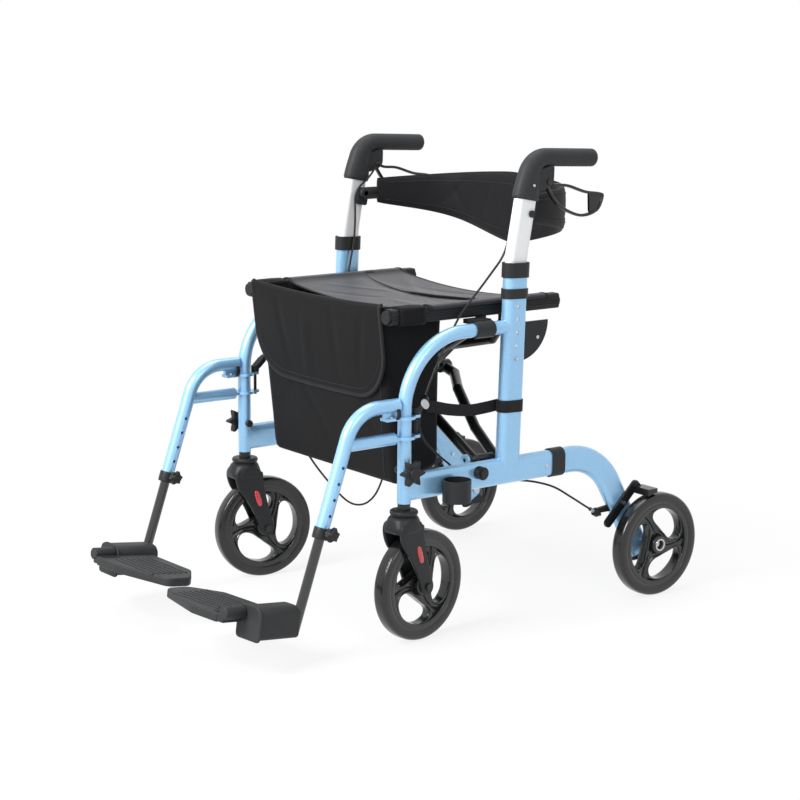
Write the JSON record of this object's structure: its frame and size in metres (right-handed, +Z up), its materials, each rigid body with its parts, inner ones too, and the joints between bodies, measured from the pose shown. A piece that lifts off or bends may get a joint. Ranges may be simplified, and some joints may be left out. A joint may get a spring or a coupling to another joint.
{
  "type": "rollator transport chair",
  "caption": "Folding walker and transport chair with swivel front wheels, hand brakes, swing-away leg rests, sling seat, back strap, under-seat bag and cane cup.",
  "frame": {"origin": "on the floor under the middle of the chair", "axes": "+Z up, +Y to the rear where the person pushing stands, +X to the sitter's left"},
  "size_m": [0.644, 1.0598, 0.8762],
  "materials": {
    "blue_frame": "metallic light blue paint",
    "white_tube": "satin silver-white",
    "black_metal": "black powder coat",
    "black_plastic": "moulded black plastic",
    "soft_black": "soft moulded black",
    "tyre": "smooth solid tyre",
    "steel": "zinc-plated steel",
    "nylon": "black woven nylon"
  },
  "bodies": {
    "left_frame": {"left_side_frame": "blue_frame", "left_rear_leg": "blue_frame", "left_frame_fittings": "black_plastic", "left_rear_axle": "steel", "left_brake_cable": "soft_black", "cane_cup": "black_plastic", "bag_strap": "nylon"},
    "right_frame": {"right_side_frame": "blue_frame", "right_rear_leg": "blue_frame", "right_frame_fittings": "black_plastic", "right_rear_axle": "steel", "right_brake_cable": "soft_black"},
    "cross_a": {"left_cross_bar": "black_metal", "right_seat_rail": "black_plastic", "cross_bolt": "steel", "seat_cloth": "nylon"},
    "cross_b": {"right_cross_bar": "black_metal", "left_seat_rail": "black_plastic"},
    "bag": {"bag": "nylon"},
    "bag_flap": {"bag_flap": "nylon"},
    "backrest": {"back_strap": "nylon"},
    "left_handle": {"left_handle_post": "white_tube", "left_hand_grip": "soft_black", "left_back_bracket": "black_plastic"},
    "left_lever": {"left_brake_lever": "black_plastic"},
    "left_brake": {"left_brake_arm": "black_metal"},
    "left_button": {"left_height_button": "steel"},
    "left_caster": {"left_caster_fork": "black_plastic", "left_caster_axle": "steel"},
    "left_front_roller": {"left_front_wheel": "black_plastic", "left_front_tyre": "tyre"},
    "left_rear_roller": {"left_rear_wheel": "black_plastic", "left_rear_tyre": "tyre"},
    "left_leg_rest": {"left_rest_hanger": "blue_frame"},
    "left_leg_slider": {"left_rest_tube": "black_metal", "left_plate_clamp": "black_plastic"},
    "left_plate": {"left_footplate": "black_plastic"},
    "left_release": {"left_release_lever": "black_plastic"},
    "left_star": {"left_star_knob": "black_plastic"},
    "left_clamp_knob": {"left_rest_knob": "black_plastic"},
    "right_handle": {"right_handle_post": "white_tube", "right_hand_grip": "soft_black", "right_back_bracket": "black_plastic"},
    "right_lever": {"right_brake_lever": "black_plastic"},
    "right_brake": {"right_brake_arm": "black_metal"},
    "right_button": {"right_height_button": "steel"},
    "right_caster": {"right_caster_fork": "black_plastic", "right_caster_axle": "steel"},
    "right_front_roller": {"right_front_wheel": "black_plastic", "right_front_tyre": "tyre"},
    "right_rear_roller": {"right_rear_wheel": "black_plastic", "right_rear_tyre": "tyre"},
    "right_leg_rest": {"right_rest_hanger": "blue_frame"},
    "right_leg_slider": {"right_rest_tube": "black_metal", "right_plate_clamp": "black_plastic"},
    "right_plate": {"right_footplate": "black_plastic"},
    "right_release": {"right_release_lever": "black_plastic"},
    "right_star": {"right_star_knob": "black_plastic"},
    "right_clamp_knob": {"right_rest_knob": "black_plastic"}
  },
  "joints": [
    {"name": "fold", "type": "hinge", "parent": "left_frame", "child": "cross_a", "pos_m": [0.236, 0.045, 0.31], "axis": [0, 1, 0], "range_deg": [0, 36], "deforming": ["seat_cloth", "bag", "bag_flap", "back_strap", "bag_strap"]},
    {"name": "scissor", "type": "hinge", "parent": "cross_a", "child": "cross_b", "pos_m": [0, 0.078, 0.43732], "axis": [0, 1, 0], "range_deg": [-72.5, 0]},
    {"name": "right_fold", "type": "hinge", "parent": "cross_b", "child": "right_frame", "pos_m": [-0.236, 0.045, 0.31], "axis": [0, 1, 0], "range_deg": [0, 36.5]},
    {"name": "bag_rise", "type": "slide", "parent": "left_frame", "child": "bag", "axis": [0, 0, 1], "range_m": [0, 0.2175], "deforming": ["bag_strap"]},
    {"name": "flap_lift", "type": "hinge", "parent": "bag", "child": "bag_flap", "pos_m": [0, -0.168, 0.598], "axis": [-1, 0, 0], "range_deg": [0, 95]},
    {"name": "backrest_flip", "type": "hinge", "parent": "left_handle", "child": "backrest", "pos_m": [0, 0.11862, 0.75532], "axis": [1, 0, 0], "range_deg": [0, 180]},
    {"name": "left_handle_height", "type": "slide", "parent": "left_frame", "child": "left_handle", "axis": [0, 0.0349, 0.9994], "range_m": [0, 0.1], "deforming": ["left_brake_cable"]},
    {"name": "left_lever_squeeze", "type": "hinge", "parent": "left_handle", "child": "left_lever", "pos_m": [0.26, 0.15974, 0.81123], "axis": [1, 0, 0], "range_deg": [0, 15], "stiffness_Nm_per_rad": 0.4},
    {"name": "left_brake_press", "type": "hinge", "parent": "left_frame", "child": "left_brake", "pos_m": [0.276, 0.35953, 0.18685], "axis": [1, 0, 0], "range_deg": [-3.1, 0]},
    {"name": "left_button_press", "type": "slide", "parent": "left_frame", "child": "left_button", "axis": [-1, 0, 0], "range_m": [0, 0.004], "stiffness_N_per_m": 300},
    {"name": "left_caster_swivel", "type": "hinge", "parent": "left_frame", "child": "left_caster", "pos_m": [0.26, -0.157, 0.2], "axis": [0, 0, 1], "continuous": true},
    {"name": "left_front_spin", "type": "hinge", "parent": "left_caster", "child": "left_front_roller", "pos_m": [0.25471, -0.11937, 0.1015], "axis": [0.9903, 0.1392, 0], "continuous": true},
    {"name": "left_rear_spin", "type": "hinge", "parent": "left_frame", "child": "left_rear_roller", "pos_m": [0.302, 0.423, 0.1015], "axis": [1, 0, 0], "continuous": true},
    {"name": "left_leg_rest_swing", "type": "hinge", "parent": "left_frame", "child": "left_leg_rest", "pos_m": [0.26, -0.157, 0.4], "axis": [0, 0, 1], "range_deg": [0, 85]},
    {"name": "left_leg_length", "type": "slide", "parent": "left_leg_rest", "child": "left_leg_slider", "axis": [0, 0.3256, 0.9455], "range_m": [0, 0.11]},
    {"name": "left_plate_flip", "type": "hinge", "parent": "left_leg_slider", "child": "left_plate", "pos_m": [0.22619, -0.39795, 0.098], "axis": [-0.1035, 0.9848, -0.1392], "range_deg": [0, 90.5]},
    {"name": "left_release_turn", "type": "hinge", "parent": "left_leg_rest", "child": "left_release", "pos_m": [0.26, -0.1315, 0.42], "axis": [0, 0, 1], "range_deg": [0, 20], "stiffness_Nm_per_rad": 0.2},
    {"name": "left_star_turn", "type": "hinge", "parent": "left_frame", "child": "left_star", "pos_m": [0.26, -0.157, 0.316], "axis": [1, 0, 0], "range_deg": [0, 360]},
    {"name": "left_clamp_turn", "type": "hinge", "parent": "left_leg_rest", "child": "left_clamp_knob", "pos_m": [0.26, -0.33448, 0.234], "axis": [1, 0, 0], "range_deg": [0, 360]},
    {"name": "right_handle_height", "type": "slide", "parent": "right_frame", "child": "right_handle", "axis": [0, 0.0349, 0.9994], "range_m": [0, 0.1], "deforming": ["right_brake_cable"]},
    {"name": "right_lever_squeeze", "type": "hinge", "parent": "right_handle", "child": "right_lever", "pos_m": [-0.26, 0.15974, 0.81123], "axis": [1, 0, 0], "range_deg": [0, 15], "stiffness_Nm_per_rad": 0.4},
    {"name": "right_brake_press", "type": "hinge", "parent": "right_frame", "child": "right_brake", "pos_m": [-0.276, 0.35953, 0.18685], "axis": [1, 0, 0], "range_deg": [-3.1, 0]},
    {"name": "right_button_press", "type": "slide", "parent": "right_frame", "child": "right_button", "axis": [1, 0, 0], "range_m": [0, 0.004], "stiffness_N_per_m": 300},
    {"name": "right_caster_swivel", "type": "hinge", "parent": "right_frame", "child": "right_caster", "pos_m": [-0.26, -0.157, 0.2], "axis": [0, 0, 1], "continuous": true},
    {"name": "right_front_spin", "type": "hinge", "parent": "right_caster", "child": "right_front_roller", "pos_m": [-0.25471, -0.11937, 0.1015], "axis": [0.9903, -0.1392, 0], "continuous": true},
    {"name": "right_rear_spin", "type": "hinge", "parent": "right_frame", "child": "right_rear_roller", "pos_m": [-0.302, 0.423, 0.1015], "axis": [1, 0, 0], "continuous": true},
    {"name": "right_leg_rest_swing", "type": "hinge", "parent": "right_frame", "child": "right_leg_rest", "pos_m": [-0.26, -0.157, 0.4], "axis": [0, 0, -1], "range_deg": [0, 85]},
    {"name": "right_leg_length", "type": "slide", "parent": "right_leg_rest", "child": "right_leg_slider", "axis": [0, 0.3256, 0.9455], "range_m": [0, 0.11]},
    {"name": "right_plate_flip", "type": "hinge", "parent": "right_leg_slider", "child": "right_plate", "pos_m": [-0.22602, -0.39321, 0.098], "axis": [-0.0346, 0.9897, -0.1392], "range_deg": [-90.5, 0]},
    {"name": "right_release_turn", "type": "hinge", "parent": "right_leg_rest", "child": "right_release", "pos_m": [-0.26, -0.1315, 0.42], "axis": [0, 0, -1], "range_deg": [0, 20], "stiffness_Nm_per_rad": 0.2},
    {"name": "right_star_turn", "type": "hinge", "parent": "right_frame", "child": "right_star", "pos_m": [-0.26, -0.157, 0.316], "axis": [1, 0, 0], "range_deg": [0, 360]},
    {"name": "right_clamp_turn", "type": "hinge", "parent": "right_leg_rest", "child": "right_clamp_knob", "pos_m": [-0.26, -0.33448, 0.234], "axis": [1, 0, 0], "range_deg": [0, 360]}
  ],
  "couplings": [
    {"joint": "scissor", "follows": "fold", "ratio": -2},
    {"joint": "right_fold", "follows": "fold", "ratio": 1},
    {"joint": "bag_rise", "follows": "fold", "m_per_rad": 0.343},
    {"joint": "left_brake_press", "follows": "left_lever_squeeze", "ratio": -0.2},
    {"joint": "left_plate_flip", "follows": "fold", "ratio": 2.5},
    {"joint": "right_brake_press", "follows": "right_lever_squeeze", "ratio": -0.2},
    {"joint": "right_plate_flip", "follows": "fold", "ratio": -2.5},
    {"joint": "right_handle_height", "follows": "left_handle_height", "ratio": 1}
  ]
}
